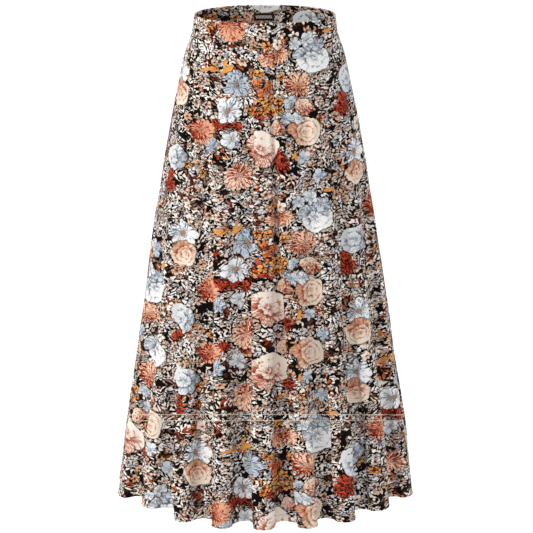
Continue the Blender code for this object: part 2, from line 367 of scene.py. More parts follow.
def seam_drop(phase):
    """The tier seam's drop: a plane that tips down towards the sides, met in a few passes."""
    centre_reach = plan_size(np.array([SEAM_DROP_CENTRE]))[1][0]
    drop = np.full_like(phase, SEAM_DROP_CENTRE)
    for _ in range(5):
        reach = np.abs(outside(phase, drop)[..., 1])
        drop = SEAM_DROP_CENTRE + SEAM_TIP * (centre_reach - reach)
    return drop


def hem_drop(phase):
    """The hem's drop: level, less each flute's rise and a small lift between the flutes."""
    trough = 0.5 - 0.5 * np.cos(2 * np.pi * phase)
    return HEM_DROP - round_flutes(flutes.rise, phase) - TROUGH_LIFT * trough


def columns_between(first, last):
    """Phases across a piece: even steps less a sine of the phase, which crowds them at each flute's
    edge, and fades out over half a flute at the side seams."""
    even = np.linspace(first, last, COLUMNS + 1)
    fade = np.clip(2 * np.minimum(even - first, last - even), 0.0, 1.0)
    return even - fade * CROWDING / (2 * np.pi) * np.sin(2 * np.pi * (even - EDGE_PHASE))


def along_crease(crease, phase, drop):
    """How far a point lies right of a crease, in metres, and how much of the crease is there: one
    along its middle, less the square of what it lacks near its two ends."""
    share = (drop - crease.top_drop) / (crease.foot_drop - crease.top_drop)
    line = crease.top_phase + (crease.foot_phase - crease.top_phase) * share
    across = (phase - line) * FLUTE_TURN * plan_size(drop)[0]
    near_end = np.minimum(drop - crease.top_drop, crease.foot_drop - drop) / CREASE_FADE
    return across, 1 - (1 - np.clip(near_end, 0.0, 1.0)) ** 2


def relief(phase, drop):
    """How far the cloth stands out from its form. A crease is a bell curve, narrow to its left and wide
    to its right, with a groove before it, and a roll is a sine of the phase that sways with the drop."""
    raised = np.zeros_like(phase)
    for crease in CREASES:
        across, amount = along_crease(crease, phase, drop)
        wide = np.where(across < 0, crease.edge, crease.spread)
        groove = bell(across + GROOVE_OFF * crease.edge, GROOVE_WIDE * crease.edge)
        raised += crease.height * amount * (bell(across, wide) - GROOVE_SHARE * groove)
    grown = np.clip(drop / ROLLS_GROWN, 0.0, 1.0)
    for roll in ROLLS:
        sway = ROLL_SWAY * np.sin(2 * np.pi * drop / roll.length + 3 * roll.start)
        raised += grown * roll.height * np.sin(2 * np.pi * phase / roll.flutes + roll.start + sway)
    return raised


def seam_dips(phase, drop, first, last):
    """The small dips where pieces are sewn together and where stitches draw the cloth in: bell curves
    of the distance to the side seams, the waistband's lower edge, the tier seam and its two rows."""
    half_width = plan_size(drop)[0]
    dips = np.zeros_like(phase)
    for seam in (first, last):
        apart = (phase - seam) * FLUTE_TURN * half_width
        dips += SEAM_DIP * bell(apart, SEAM_DIP_WIDE)
    below_seam = drop - seam_drop(phase)
    for apart in (drop - WAISTBAND_DEEP, below_seam):
        dips += SEAM_DIP * bell(apart, SEAM_DIP_WIDE)
    for row in (-STITCH_OFF, STITCH_OFF):
        dips += STITCH_DIP * bell(below_seam - row, STITCH_DIP_WIDE)
    return -dips


def unit_normals(points):
    """A grid's outward unit normals: the cross product of its steps down and across."""
    return unit(np.cross(*np.gradient(points, axis=(0, 1))))


def cloth_face(phase, drop, first, last):
    """The dressed outer face of a piece: its form, moved out along its normals by the relief."""
    form = outside(phase, drop)
    raised = relief(phase, drop) + seam_dips(phase, drop, first, last)
    return form + raised[..., None] * unit_normals(form)


def print_place(phase, drop):
    """Where each point lies on the print, in millimetres. Across is the way round from the middle of
    the panel. The nearer to a side, the more the steps forwards or back count, and the less the steps
    sideways do. The cloth that creases hide is added. Down is the drop, less the fall of the rows."""
    form, shallow = outside(phase, drop), outside(phase, drop, depth_share=PRINT_DEPTH)
    beside = np.abs(shallow[..., 0]) / plan_size(drop)[0]
    beside = (beside[:, 1:] + beside[:, :-1]) / 2
    sideways, forwards = np.moveaxis(np.diff(form[..., :2], axis=1), -1, 0)
    sideways = np.maximum(sideways * np.sign(sideways.sum()), 0.0) * (1 - PRINT_NARROWED * beside**2)
    forwards = forwards * (PRINT_FLANK + (1 - PRINT_FLANK) * beside**3)
    steps = PRINT_EASE * np.hypot(sideways, forwards)
    across = np.concatenate([np.zeros((len(phase), 1)), np.cumsum(steps, axis=1)], axis=1)
    for crease in CREASES:
        if phase.min() < crease.foot_phase < phase.max():
            apart, amount = along_crease(crease, phase, drop)
            across += crease.tuck * amount * np.clip(apart / crease.edge + TUCK_FROM, 0.0, 1.0)
    middle = np.argmin(np.abs(phase[0] - phase[0].mean().round()))
    across -= across[:, [middle]]
    down = drop - PRINT_TIP * (plan_size(drop)[1] - np.abs(shallow[..., 1]))
    return np.stack([across, down], axis=-1) * 1000


def riding_piece(name, points, faces, materials):
    """A smooth mesh of its points and faces, as a piece that rides on the one body."""
    mesh = bpy.data.meshes.new(name)
    mesh.from_pydata(points.reshape(-1, 3).tolist(), [], faces)
    mesh.shade_smooth()
    for material in materials:
        mesh.materials.append(material)
    piece = new_object(name, mesh)
    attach(piece, "root")
    return piece


def cloth_shell(name, outer, inner, outer_print, inner_print, materials):
    """One closed thin shell: the cloth's two faces, each a grid of points, joined round their edges.
    Its UV map is each point's place on the print. The last material is on the inner face."""
    rows, columns = outer.shape[:2]
    number = np.arange(rows * columns).reshape(rows, columns)
    far = number + rows * columns

    def quads(a, b, c, d):
        return np.stack([a, b, c, d], axis=-1).reshape(-1, 4)

    outer_faces = quads(number[:-1, :-1], number[1:, :-1], number[1:, 1:], number[:-1, 1:])
    inner_faces = quads(far[:-1, :-1], far[:-1, 1:], far[1:, 1:], far[1:, :-1])
    edge_faces = np.concatenate([
        quads(number[0, :-1], number[0, 1:], far[0, 1:], far[0, :-1]),
        quads(number[-1, 1:], number[-1, :-1], far[-1, :-1], far[-1, 1:]),
        quads(number[1:, 0], number[:-1, 0], far[:-1, 0], far[1:, 0]),
        quads(number[:-1, -1], number[1:, -1], far[1:, -1], far[:-1, -1]),
    ])
    faces = np.concatenate([outer_faces, inner_faces, edge_faces])
    piece = riding_piece(name, np.stack([outer, inner]), faces.tolist(), materials)
    piece.data.set_sharp_from_angle(angle=SHARP_EDGE)
    places = np.stack([outer_print, inner_print]).reshape(-1, 2)
    piece.data.uv_layers.new(name="cloth").data.foreach_set("uv", places[faces.ravel()].ravel())
    inside = np.zeros(len(faces), dtype=np.int32)
    inside[len(outer_faces) : len(outer_faces) + len(inner_faces)] = len(materials) - 1
    piece.data.polygons.foreach_set("material_index", inside)
    return piece


INK_ROOT = 4  # inks are mixed as fourth roots of their light, which keeps the mid-tones rich
CLOTH_WHITE = 0.90  # the share of light that the bare crepe sends back


def ink(hex_colour):
    """A printing ink's colour on the crepe, as the root of its linear light."""
    return (*((CLOTH_WHITE * channel) ** (1 / INK_ROOT) for channel in linear(hex_colour)[:3]), 1.0)


# How each kind of flower is drawn. Petals are counted in one ring, and rings lie one under another.
# Spiral winds the rings up, notch is how deep the gaps between petals cut, and heart is the size of
# the eye. Point is how pointed a petal is, streak how strongly it is veined, and shadow how dark its
# dark side is. The three colours are a petal's tip, its base and the eye.
Kind = namedtuple("Kind", "petals rings spiral notch heart point streak shadow tip base eye")
KINDS = {
    "white_peony": (6, 2, 0.4, 0.25, 0.0, 0.4, 0.38, 0.35, "#fdfdfc", "#5c6676", "#b8a293"),
    "grey_peony": (6, 2, 0.4, 0.25, 0.0, 0.4, 0.42, 0.45, "#e8eaec", "#465268", "#8a8f9c"),
    "blush_peony": (6, 2, 0.4, 0.25, 0.0, 0.4, 0.5, 0.74, "#fbeee2", "#8a301c", "#a8452f"),
    "peach_aster": (17, 3, 0.0, 0.8, 0.0, 1.0, 1.0, 0.66, "#fbdec8", "#84210b", "#7c2417"),
    "rust_aster": (17, 3, 0.0, 0.8, 0.0, 1.0, 1.0, 0.6, "#fbd8bc", "#80200b", "#6f1c12"),
    "red_aster": (17, 3, 0.0, 0.8, 0.0, 1.0, 1.0, 1.0, "#ecb090", "#7a1709", "#561009"),
    "blue_cosmos": (8, 1, 0.0, 0.45, 0.2, 0.3, 0.85, 0.5, "#ccd4de", "#28384e", "#c79a72"),
    "pale_cosmos": (8, 1, 0.0, 0.45, 0.2, 0.3, 0.75, 0.4, "#ffffff", "#4c5b72", "#c79a72"),
    "cream_rose": (5, 3, 0.3, 0.26, 0.0, 0.5, 0.28, 0.42, "#f4e4d4", "#963f1e", "#a34a30"),
    "peach_rose": (5, 3, 0.3, 0.3, 0.0, 0.5, 0.5, 0.6, "#f8dcc4", "#6b1a0e", "#8c3020"),
    "blue_floret": (5, 1, 0.0, 0.55, 0.22, 0.4, 0.6, 0.4, "#d2dbe4", "#364862", "#d8c8ae"),
    "sky_floret": (5, 1, 0.0, 0.55, 0.22, 0.4, 0.55, 0.3, "#eef2f5", "#586880", "#d8c8ae"),
    "cream_floret": (5, 1, 0.0, 0.55, 0.22, 0.4, 0.55, 0.3, "#fff3e6", "#9c6a50", "#5b2417"),
    "orange_floret": (5, 1, 0.0, 0.7, 0.22, 0.5, 0.9, 0.3, "#fbb464", "#66200a", "#3c0f07"),
    "rust_floret": (6, 1, 0.0, 0.75, 0.25, 0.6, 0.9, 0.4, "#ee8e5c", "#58120a", "#e0a04c"),
    "dark_berry": (9, 3, 0.0, 0.7, 0.0, 0.8, 1.0, 0.35, "#d4553c", "#240503", "#420b08"),
    "dark_gap": (4, 1, 0.0, 0.6, 0.0, 0.5, 0.2, 0.1, "#1b1310", "#070403", "#0e0806"),
    "orange_leaf": (1, 1, 0.0, 1.0, 0.0, 30.0, 0.25, 0.2, "#f0a95a", "#a04a1c", "#6b2a18"),
}

# The printed repeat, charted in millimetres from centre front and from the waist edge. Each row is a
# kind and its flowers: how far across and down, the size and the turn. Size is a radius, or a leaf's
# length, and turn, in degrees, is the way the dark side faces. Earlier rows lie on top.
REPEAT = (
    ("peach_aster", (-55, 274, 27, 285)), ("blue_floret", (90, 276, 14, 30)),
    ("sky_floret", (49, 35, 13, 200), (70, 29, 14, 90)), ("blue_floret", (89, 37, 13, 310)),
    ("cream_rose", (157, 277, 23, 260)), ("orange_leaf", (116, 14, 24, 170)),
    ("white_peony", (80, 64, 25, 240)), ("cream_floret", (-143, 45, 10, 10), (-141, 68, 8, 50)),
    ("orange_leaf", (-101, 90, 30, 332), (-86, 90, 25, 302), (-74, 88, 28, 338), (-69, 82, 20, 296),
        (-92, 86, 18, 165)), ("pale_cosmos", (-158, 96, 26, 220)), ("blue_cosmos", (-48, 109, 26, 320)),
    ("pale_cosmos", (-67, 156, 22, 20)), ("rust_aster", (56, 111, 25, 100)),
    ("orange_floret", (3, 41, 9, 90)), ("cream_floret", (22, 40, 10, 30)),
    ("rust_aster", (27, 59, 16, 200), (6, 64, 16, 330)),
    ("orange_floret", (-20, 90, 8, 200), (-6, 92, 8, 80)), ("dark_gap", (11, 99, 7.5, 60)),
    ("orange_floret", (28, 99, 9, 60)),
    ("rust_floret", (-11, 108, 9, 70), (3, 113, 9, 160), (-6, 123, 9, 300)),
    ("orange_floret", (-4, 138, 8, 300), (11, 135, 8, 20), (25, 140, 8, 120), (-16, 149, 8, 10),
        (-29, 157, 8, 200), (4, 148, 8, 250), (-5, 157, 7, 90), (11, 158, 8, 150), (24, 153, 7, 40)),
    ("dark_berry", (-4, 150, 23, 60), (-4, 112, 17, 60)), ("grey_peony", (150, 108, 26, 20)),
    ("peach_rose", (66, 151, 16, 80)), ("blue_floret", (42, 144, 11, 60), (36, 170, 12, 150)),
    ("sky_floret", (54, 171, 12, 20)), ("dark_berry", (134, 158, 16, 40), (134, 140, 11, 90)),
    ("red_aster", (-117, 198, 24, 150)),
    ("dark_berry", (-90, 184, 12, 20), (-72, 180, 12, 70), (-55, 186, 10, 140)),
    ("cream_rose", (64, 196, 26, 190)), ("peach_rose", (22, 187, 14, 20)),
    ("blush_peony", (-10, 226, 31, 125)), ("blue_floret", (-99, 223, 14, 60)),
    ("sky_floret", (-66, 211, 15, 10)), ("orange_leaf", (44, 244, 24, 285), (52, 246, 18, 250)),
    ("sky_floret", (63, 240, 13, 100)), ("dark_berry", (27, 254, 15, 30), (22, 240, 11, 30)),
    ("orange_floret", (-143, 262, 9, 20), (-118, 275, 8, 200)),
)
AT_WAIST = (("red_aster", (-52, 8, 26, 275)),)  # printed once, where the repeat runs out
REPEAT_WIDE = 315.0
REPEAT_DEEP = 288.0
OFF_GRAIN = 0.035  # the print drifts this much across for each step down
DOUBLED_FROM = 470.0  # one band of the print comes twice, just above the tier seam
DOUBLED_DEEP = 112.0
SLOTS = 4  # how many of the repeat's flowers may lie over each other on one face
PAST_EDGE = 9.0  # how far past its radius a flower can reach, by the print's wandering and its rim
FAR_OFF = -9999.0  # an empty slot's flower is here, and has this form, size and point
EMPTY_LOOK = (1.0, 1.0, 0.0, 1.0, 0.0, 0.0, 1.0)


def all_motifs():
    """Every flower of the cloth, as rows of numbers: the repeat's, stepped across by its width, with
    every second column dropped by half its depth, and stepped down by its depth."""
    motifs = []
    for name, *places in (*AT_WAIST, *REPEAT):
        kind = Kind(*KINDS[name])
        inks = [part for colour in kind[8:] for part in ink(colour)[:3]]
        once = (name, *places) in AT_WAIST
        steps = [(0, 0)] if once else [(column, row) for column in range(-4, 5) for row in range(-3, 6)]
        for first_across, first_down, size, turn in places:
            look = (math.radians(turn), *kind[:3], size, *kind[3:8], *inks)
            for column, row in steps:
                down = first_down + (row + column % 2 / 2) * REPEAT_DEEP
                across = first_across + column * REPEAT_WIDE + OFF_GRAIN * down
                if down <= DOUBLED_FROM + DOUBLED_DEEP:
                    motifs.append((across, down, *look))
                if down > DOUBLED_FROM:
                    motifs.append((across, down + DOUBLED_DEEP, *look))
    return np.array(motifs)


MOTIFS = all_motifs()
LOOK_PARTS = ("place", "form", "size", "paint", "tip", "base", "eye")


def lay_flowers(piece):
    """Gives each face the flowers that reach it, nearest the top first, as vectors on the face. A
    face's place is the mean of its four corners on the print."""
    mesh = piece.data
    corners = np.empty(4 * 2 * len(mesh.polygons))
    mesh.uv_layers["cloth"].data.foreach_get("uv", corners)
    centres = corners.reshape(-1, 4, 2).mean(axis=1)
    used = np.zeros(len(centres), dtype=int)
    looks = np.zeros((SLOTS, len(centres), MOTIFS.shape[1]))
    looks[..., :2] = FAR_OFF
    looks[..., 3:10] = EMPTY_LOOK
    lowest, highest = centres.min(axis=0), centres.max(axis=0)
    apart = np.maximum(lowest - MOTIFS[:, :2], MOTIFS[:, :2] - highest).max(axis=1)
    for motif in MOTIFS[apart < MOTIFS[:, 6]]:
        near = np.abs(centres - motif[:2]).max(axis=1) < motif[6] + PAST_EDGE
        faces = np.flatnonzero(near & (used < SLOTS))
        looks[used[faces], faces] = motif
        used[faces] += 1
    for slot in range(SLOTS):
        for part, name in enumerate(LOOK_PARTS):
            values = looks[slot, :, 3 * part : 3 * part + 3].astype(np.float32)
            attribute = mesh.attributes.new(f"{name}_{slot}", "FLOAT_VECTOR", "FACE")
            attribute.data.foreach_set("vector", values.ravel())


OUTLINE_INK = "#0e0806"
CUP = 0.8  # how far a flower's rings lie off its middle, as in a cup seen from one side
SHORTENED = 0.25  # how much of its ring a petal may fall short
LEAST_LOBE = 0.0001


def blank_group(name, **sockets):
    """A new node group that draws a colour, with inputs of the types and names given: its tree, its
    inputs, and the function that adds a node to it."""
    tree = bpy.data.node_groups.new(name, "ShaderNodeTree")
    tree.interface.new_socket("Colour", in_out="OUTPUT", socket_type="NodeSocketColor")
    for kind, names in sockets.items():
        for socket in names.split():
            tree.interface.new_socket(socket, in_out="INPUT", socket_type="NodeSocket" + kind)
    return tree, tree.nodes.new("NodeGroupInput").outputs, partial(add, tree)


def flower_group():
    """Draws one flower over what lies under it. The ring count times the radius tells which ring a
    point is in. Each ring's petals end at a scalloped edge, the cosine of half the petal count times
    the angle, and every second ring is turned by half a petal. A random number for each petal sets
    how far it reaches and how dark it is."""
    colours, vectors = "Under Tip Base Eye", "Spot Place Form Size Paint"
    tree, given, put = blank_group("printed_flower", Color=colours, Float="Rim Grain", Vector=vectors)
    petals, rings, spiral = put("SeparateXYZ", given["Form"]).node.outputs
    radius, notch, heart = put("SeparateXYZ", given["Size"]).node.outputs
    point, streak, shadow = put("SeparateXYZ", given["Paint"]).node.outputs

    # The place's third number is the turn, so the difference's third number takes it off the angle.
    apart = put("VectorMath SUBTRACT", given["Spot"], given["Place"])
    x, y, turn = put("SeparateXYZ", apart).node.outputs
    angle = put("+", put("arctan2", y, x), turn)
    flat = put("VectorMath MULTIPLY", apart, (1.0, 1.0, 0.0))
    length = put("VectorMath LENGTH", flat, out=1)
    out = put("/", length, radius)
    dark_side = put("cosine", angle)
    bulge = put("*", put("*", out, put("-", 1.0, out, use_clamp=True)), put("*", dark_side, CUP))
    way = put("*+", put("*", angle, 1 / (2 * math.pi)), spiral, put("*", put("+", out, bulge), rings))
    ring = put("floor", way)
    within = put("-", way, ring)
    odd = put("floored_modulo", ring, 2.0)
    count = put("*+", put("*", put("*", angle, petals), 0.5), 1 / math.pi, 0.5)

    def petals_of(ring, odd):
        """The lobes of one ring's petals, their edge and a random number for each petal."""
        turned = put("*+", odd, -0.5, count)
        number = put("floored_modulo", put("floor", turned), petals)
        chance = put("TexWhiteNoise", put("CombineXYZ", number, ring, turn), noise_dimensions="3D")
        across = put("*", put("-", put("fract", turned), 0.5), math.pi)
        lobe = put("maximum", put("cosine", across), LEAST_LOBE)
        cut = put("-", 1.0, put("power", lobe, point))
        short = put("*", put("*", chance, put("minimum", point, 1.0)), SHORTENED)
        return lobe, put("-", 1.0, put("*+", cut, notch, short)), chance

    own = petals_of(ring, odd)
    following = petals_of(put("+", ring, 1.0), put("-", 1.0, odd))
    beyond = put(">", within, own[1])
    lobe, edge, chance = (put("Mix", {0: beyond, 2: a, 3: b}) for a, b in zip(own, following))
    this_ring = put("+", ring, beyond)
    below_tip = put("-", put("+", this_ring, edge), way)
    last_ring = put("-", rings, 1.0)
    inside = put("<", this_ring, put("+", last_ring, 0.5))
    outside_by = put("*", put("-", way, put("+", last_ring, own[1])), put("/", radius, rings))

    # Fine streaks run out along the petals: a noise that is stretched away from the middle.
    streaks = put("VectorMath SCALE", {0: put("VectorMath NORMALIZE", flat), "Scale": radius})
    lift = put("CombineXYZ", 0.0, 0.0, put("*", length, 0.35))
    streaks = put("VectorMath MULTIPLY_ADD", streaks, (0.7, 0.7, 0.0), lift)
    streaks = put("TexNoise", {"Vector": streaks, "Scale": 0.55, "Detail": 0.0})
    streaks = put("MapRange", streaks, 0.3, 0.7, -0.75, 0.75)

    # Petals darken towards their base, between each other, along the streaks and on one side.
    # The smoother a petal is, the closer to its base its shadow keeps.
    depth = put("power", put("minimum", below_tip, 1.05), put("*+", streak, -2.4, 4.2))
    gap_wide = put("*+", put("minimum", point, 1.0), 0.5, 0.3)
    gap = put("MapRange", lobe, 0.0, gap_wide, 1.0, 0.0)
    depth = put("*", depth, put("*+", dark_side, 0.2, 0.85))
    lines = put("*+", gap, put("*+", notch, 0.9, 0.3), streaks)
    lines = put("*", put("+", put("*+", chance, 0.6, -0.3), lines), streak)
    side = put("*", put("*", dark_side, out), shadow)
    shade = put("+", side, put("+", depth, lines), use_clamp=True)
    petal = put("blend", shade, given["Tip"], given["Base"])

    # The eye is a dotted disc.
    from_eye = put("/", out, put("maximum", heart, 0.001))
    eye = put("MapRange", from_eye, 0.85, 1.15, 1.0, 0.0)
    dots = put("MapRange", given["Grain"], 0.45, 0.6, 0.0, 0.75)
    petal = put("blend", eye, petal, put("blend", dots, given["Eye"], given["Base"]))

    # A dark rim under the flower sets it off from the leaves behind it.
    rim = put("MapRange", outside_by, 0.5, 2.2, 1.0, 0.0, interpolation_type="SMOOTHSTEP")
    under = put("blend", put("*", rim, given["Rim"]), given["Under"], ink(OUTLINE_INK))
    whole = put("blend", inside, under, petal)
    fill(tree.nodes.new("NodeGroupOutput"), {"Colour": whole})
    return tree


LEAF_SLANT = math.radians(34)  # how far a spray's leaves stand off its stem


def spray_group():
    """Draws sprays of small leaves over what lies under them. Each cell of a Voronoi grid is a spray,
    turned its own way. Its leaves slant off the stem to both sides alike, in rows one leaf wide, and
    a leaf's width goes as s (1 - s), with s the share of the way along it."""
    colours, floats = "Under Light Mid Dark", "Spacing Filled Wide Long"
    tree, given, put = blank_group("printed_spray", Color=colours, Vector="Spot", Float=floats)
    grid = {"Vector": given["Spot"], "Scale": put("/", 1.0, given["Spacing"])}
    cells = put("TexVoronoi", grid, voronoi_dimensions="2D").node
    chance, tone, turn = put("SeparateXYZ", cells.outputs["Color"]).node.outputs
    apart = put("VectorMath SUBTRACT", given["Spot"], cells.outputs["Position"])
    angle = put("*", turn, 2 * math.pi)
    apart = put("VectorRotate", {"Vector": apart, "Angle": angle}, rotation_type="Z_AXIS")
    x, y, _ = put("SeparateXYZ", apart).node.outputs
    side = put("absolute", x)
    along = put("*+", side, math.sin(LEAF_SLANT), put("*", y, math.cos(LEAF_SLANT)))
    across = put("*+", side, math.cos(LEAF_SLANT), put("*", y, -math.sin(LEAF_SLANT)))
    across = put("/", across, given["Wide"])
    row = put("floor", across)
    off_middle = put("absolute", put("-", put("fract", across), 0.5))
    start = put("TexWhiteNoise", put("CombineXYZ", row, chance, turn), noise_dimensions="3D")
    along = put("+", put("/", along, given["Long"]), start)
    share = put("fract", along)
    leaf = put("CombineXYZ", row, put("floor", along), chance)
    leaf = put("TexWhiteNoise", leaf, noise_dimensions="3D", out=1)
    plump, shade, shown = put("SeparateXYZ", leaf).node.outputs
    rest = put("-", 1.0, share)
    width = put("*", put("*", share, rest), 2.0)
    width = put("*", width, put("MapRange", plump, 0.0, 1.0, 0.45, 0.8))
    here = put("*", put("<", off_middle, width), put("<", chance, given["Filled"]))
    here = put("*", here, put("<", shown, 0.84))

    tone = put("+", tone, put("*", put("-", shade, 0.5), 0.7))
    tone = put("*+", rest, 0.3, put("-", tone, 0.25))
    light = put("blend", put("MapRange", tone, 0.0, 0.5), given["Light"], given["Mid"])
    printed = put("blend", put("MapRange", tone, 0.5, 1.0), light, given["Dark"])
    whole = put("blend", here, given["Under"], printed)
    fill(tree.nodes.new("NodeGroupOutput"), {"Colour": whole})
    return tree


# The sprays of small leaves on the ground, each kind on a grid of its own: the colours of its leaves,
# the spacing in millimetres, the share of places that are filled, and a leaf's width and length.
Spray = namedtuple("Spray", "name inks sizes")
SPRAYS = (
    Spray("brown", ("#8c4d30", "#4e291c", "#24120d"), (19.0, 0.42, 5.8, 13.0)),
    Spray("cream", ("#fffaf2", "#f0e2d5", "#7c655a"), (14.0, 0.90, 5.6, 12.0)),
    Spray("rust", ("#d9833e", "#a8411f", "#5a180b"), (21.0, 0.20, 5.8, 14.0)),
    Spray("white", ("#ffffff", "#f6f3f0", "#9a999b"), (16.0, 0.34, 5.2, 11.0)),
)
SPRAY_SHIFT = np.array([37.0, 61.0, 0.0])  # from one kind's grid to the next one's

# The small flowers on the ground, each kind on a grid of its own: the spacing and size in
# millimetres, the share of places that are filled, how they are drawn, and their colours.
Filler = namedtuple("Filler", "name spacing size filled notch heart point shadow tips base")
FILLERS = (
    Filler("blossoms", 20.0, 8.4, 0.66, 0.70, 0.24, 0.6, 0.2,
           ("#fffaf4", "#f0d8c6", "#dfe5ec", "#ebbf9f"), "#7d4f3a"),
    Filler("daisies", 13.5, 5.6, 0.42, 0.75, 0.22, 0.5, 0.2,
           ("#fffaf4", "#eee0d3", "#d5dde7", "#ecc9ad"), "#5f4437"),
)
FILLER_SHIFT = np.array([-43.0, 17.0, 0.0])
FILLER_PETALS = 5.0
SMALLEST, LARGEST = 0.75, 1.15  # the sizes they come in

# The print wanders a little off its chart: how many times in a millimetre, and how far.
WANDERS = ((0.03, 11.0), (0.16, 2.6), (0.45, 1.3))


def printed_cloth(name, fade):
    """Polyester crepe, rotary printed: matt and dry, with a fine pebbled weave and a faint sheen where
    it turns away. The ground is nearly black. Fade is how pale the print comes through."""
    material, shader, put = blank_material(name)
    noise = partial(put, "TexNoise", noise_dimensions="2D")
    place = put("UVMap", uv_map="cloth")
    grain = noise({"Vector": place, "Scale": 0.5, "Detail": 1.0})
    spot = place
    for per_mm, reach in WANDERS:
        wander = noise({"Vector": place, "Scale": per_mm, "Detail": 0.0}, out=1)
        wander = put("VectorMath SUBTRACT", wander, (0.5, 0.5, 0.5))
        spot = put("VectorMath MULTIPLY_ADD", wander, (reach, reach, 0.0), spot)

    patches = noise({"Vector": place, "Scale": 0.018, "Detail": 1.0})
    patches = put("MapRange", patches, 0.3, 0.7, -0.25, 0.25)
    colour = put("blend", put("MapRange", grain, 0.35, 0.7), ink("#080504"), ink("#19110e"))
    for number, spray in enumerate(SPRAYS):
        shifted = put("VectorMath ADD", spot, SPRAY_SHIFT * number)
        colour = put("Group", colour, *map(ink, spray.inks), shifted, *spray.sizes, node_tree=SPRAY)

    for number, filler in enumerate(FILLERS):
        shifted = put("VectorMath ADD", spot, FILLER_SHIFT * number)
        grid = {"Vector": shifted, "Scale": 1 / filler.spacing, "Randomness": 0.85}
        cells = put("TexVoronoi", grid, voronoi_dimensions="2D").node
        chance, tone, turn = put("SeparateXYZ", cells.outputs["Color"]).node.outputs
        turned = put("CombineXYZ", 0.0, 0.0, put("*", turn, 2 * math.pi))
        centre = put("VectorMath MULTIPLY_ADD", cells.outputs["Position"], (1.0, 1.0, 0.0), turned)
        size = put("MapRange", turn, 0.0, 1.0, filler.size * SMALLEST, filler.size * LARGEST)
        size = put("*", size, put("-", 1.0001, put(">", chance, filler.filled)))
        size = put("CombineXYZ", size, filler.notch, filler.heart)
        tip = put("ValToRGB", put("+", tone, patches, use_clamp=True))
        ramp = tip.node.color_ramp
        ramp.interpolation = "CONSTANT"
        for _ in filler.tips[2:]:
            ramp.elements.new(0.5)
        for step, hex_colour in enumerate(filler.tips):
            ramp.elements[step].position = step / len(filler.tips)
            ramp.elements[step].color = ink(hex_colour)
        inks = (tip, ink(filler.base), ink("#4a2418"))
        look = (shifted, centre, (FILLER_PETALS, 1.0, 0.0), size, (filler.point, 0.6, filler.shadow))
        colour = put("Group", colour, *inks, 1.0, grain, *look, node_tree=FLOWER)

    for slot in reversed(range(SLOTS)):
        looks = [put("Attribute", out=1, attribute_name=f"{part}_{slot}") for part in LOOK_PARTS]
        colour = put("Group", colour, *looks[4:], 0.5, grain, spot, *looks[:4], node_tree=FLOWER)
    light = put("blend", fade, colour, ink("#b9aca2"))
    for _ in range(INK_ROOT // 2):
        light = put("VectorMath MULTIPLY", light, light)

    # The pebbles of a crepe are about 0.4 mm across; they are drawn four times as coarse to show.
    pebbles = noise({"Vector": place, "Scale": 0.6, "Detail": 1.0})
    bump = put("Bump", {"Strength": 0.35, "Distance": 0.0004, "Height": pebbles})
    fill(shader, {
        "Base Color": light, "Normal": bump, "Roughness": 0.78, "Specular IOR Level": 0.04,
        "Sheen Weight": 0.03, "Sheen Roughness": 0.5,
    })
    return material


def printed_piece(name, face, wrong_side, on_print, print_inside, materials):
    """A piece of the printed cloth, in the place of its solid."""
    piece = cloth_shell(name + "_cloth", face, wrong_side, on_print, print_inside, materials)
    lay_flowers(piece)
    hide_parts(name)
    return piece


FLOWER = flower_group()
SPRAY = spray_group()
crepe = printed_cloth("printed_crepe", 0.0)
crepe_inside = printed_cloth("printed_crepe_wrong_side", 0.15)


def panel_grid(first, last):
    """A panel's phases and drops: even rows from the waistband to the tier seam, close beside both."""
    phase = columns_between(first, last)
    beside = SEAM_STEP * np.arange(SEAM_STEPS)[:, None]
    top = WAISTBAND_DEEP + SEAM_STEP * SEAM_STEPS / 2
    foot = seam_drop(phase) - SEAM_STEP * SEAM_STEPS
    share = np.linspace(0.0, 1.0, PANEL_ROWS + 1)[:, None]
    drop = np.concatenate([
        np.tile(WAISTBAND_DEEP + beside[: SEAM_STEPS // 2], (1, len(phase))),
        top * (1 - share) + foot * share,
        foot + beside[1:],
        seam_drop(phase)[None],
    ])
    return np.tile(phase, (len(drop), 1)), drop


for name, ends in (("panel_front", FRONT), ("panel_back", BACK)):
    phase, drop = panel_grid(*ends)
    face = cloth_face(phase, drop, *ends)
    wrong_side = face - unit_normals(face) * CLOTH_THICK
    on_print = print_place(phase, drop) + BACK_CUT * (ends == BACK)
    panel = printed_piece(name, face, wrong_side, on_print, on_print, (crepe, crepe_inside))


# ---- The waistband ---------------------------------------------------------------------------------
# A straight strip of the same crepe for the front and one for the back, with an elastic between each
# and its facing. They are sewn together along the waist edge and turned, so the facing shows the
# print's right side to the inside.

WAISTBAND_THICK = 0.003
WAISTBAND_ROWS = 16
EDGE_STEPS = 5
EDGE_SEAM = math.radians(5)  # strip and facing meet this far either side of the top of the edge
FACING_SHIFT = np.array([80.0, 75.0])  # where on the print the facings were cut, in millimetres


